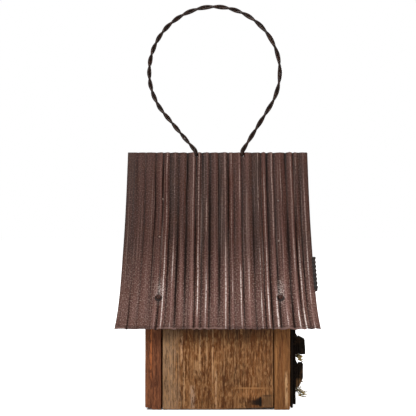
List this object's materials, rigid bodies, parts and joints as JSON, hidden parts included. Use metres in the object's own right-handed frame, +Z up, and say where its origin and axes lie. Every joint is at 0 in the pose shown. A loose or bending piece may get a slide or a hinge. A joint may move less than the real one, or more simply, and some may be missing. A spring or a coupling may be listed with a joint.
{
  "type": "birdhouse",
  "caption": "Hanging birdhouse: board box with a steep gable, a creased tin sheet folded over the ridge, a twisted-wire loop and a swing-out side door.",
  "frame": {"origin": "centre of the house's flat underside", "axes": "+Z up to the hanging loop, +X towards the entrance, -Y towards the swing-out side door"},
  "size_m": [0.2374, 0.2302, 0.5068],
  "materials": {
    "tin": "weathered, satin, dark red-brown",
    "dark_tin": "weathered, dark",
    "wire": "oxidised, dark brown",
    "nail": "rusted",
    "door_wood": "weathered, unfinished",
    "board_wood": "weathered, unfinished",
    "charred_wood": "charred, matt",
    "straw": "dry straw"
  },
  "bodies": {
    "house": {"back_board": "board_wood", "back_board_nail_floor_far": "nail", "back_board_nail_floor_near": "nail", "back_board_nail_side_high": "nail", "back_board_nail_side_low": "nail", "branch_rail": "charred_wood", "branch_rail_nail_left": "nail", "branch_rail_nail_right": "nail", "branch_stub_left": "charred_wood", "branch_stub_right": "charred_wood", "door_pivot_nail_back": "nail", "door_pivot_nail_front": "nail", "fixed_side_board": "board_wood", "floor_board": "board_wood", "front_apron": "charred_wood", "front_board": "board_wood", "front_board_nail_floor_far": "nail", "front_board_nail_floor_near": "nail", "front_board_nail_side_high": "nail", "front_board_nail_side_low": "nail", "front_plank_left": "charred_wood", "front_plank_middle": "charred_wood", "front_plank_nail_left": "nail", "front_plank_nail_middle": "nail", "front_plank_nail_right": "nail", "front_plank_right": "charred_wood", "ledge": "charred_wood", "ledge_block_left": "charred_wood", "ledge_block_right": "charred_wood", "ledge_nail_left": "nail", "ledge_nail_right": "nail", "rake_clip": "dark_tin", "roof_nail_eave_back_far": "nail", "roof_nail_eave_back_near": "nail", "roof_nail_eave_front_far": "nail", "roof_nail_eave_front_near": "nail", "roof_nail_middle_back_far": "nail", "roof_nail_middle_back_near": "nail", "roof_nail_middle_front_far": "nail", "roof_nail_middle_front_near": "nail", "roof_nail_ridge_back_far": "nail", "roof_nail_ridge_back_near": "nail", "roof_nail_ridge_front_far": "nail", "roof_nail_ridge_front_near": "nail", "roof_nail_spare_front_near": "nail", "roof_sheet": "tin", "straw_lower": "straw", "straw_upper": "straw"},
    "side_door": {"side_door": "door_wood"},
    "hanger": {"hanger_strand_a": "wire", "hanger_strand_b": "wire"}
  },
  "joints": [
    {"name": "side_door_swing", "type": "hinge", "parent": "house", "child": "side_door", "pos_m": [0, -0.0665, 0.118], "axis": [-1, 0, 0], "range_deg": [0, 55]},
    {"name": "hanger_swing", "type": "hinge", "parent": "house", "child": "hanger", "pos_m": [0, 0, 0.307], "axis": [1, 0, 0], "range_deg": [-30, 30]}
  ]
}
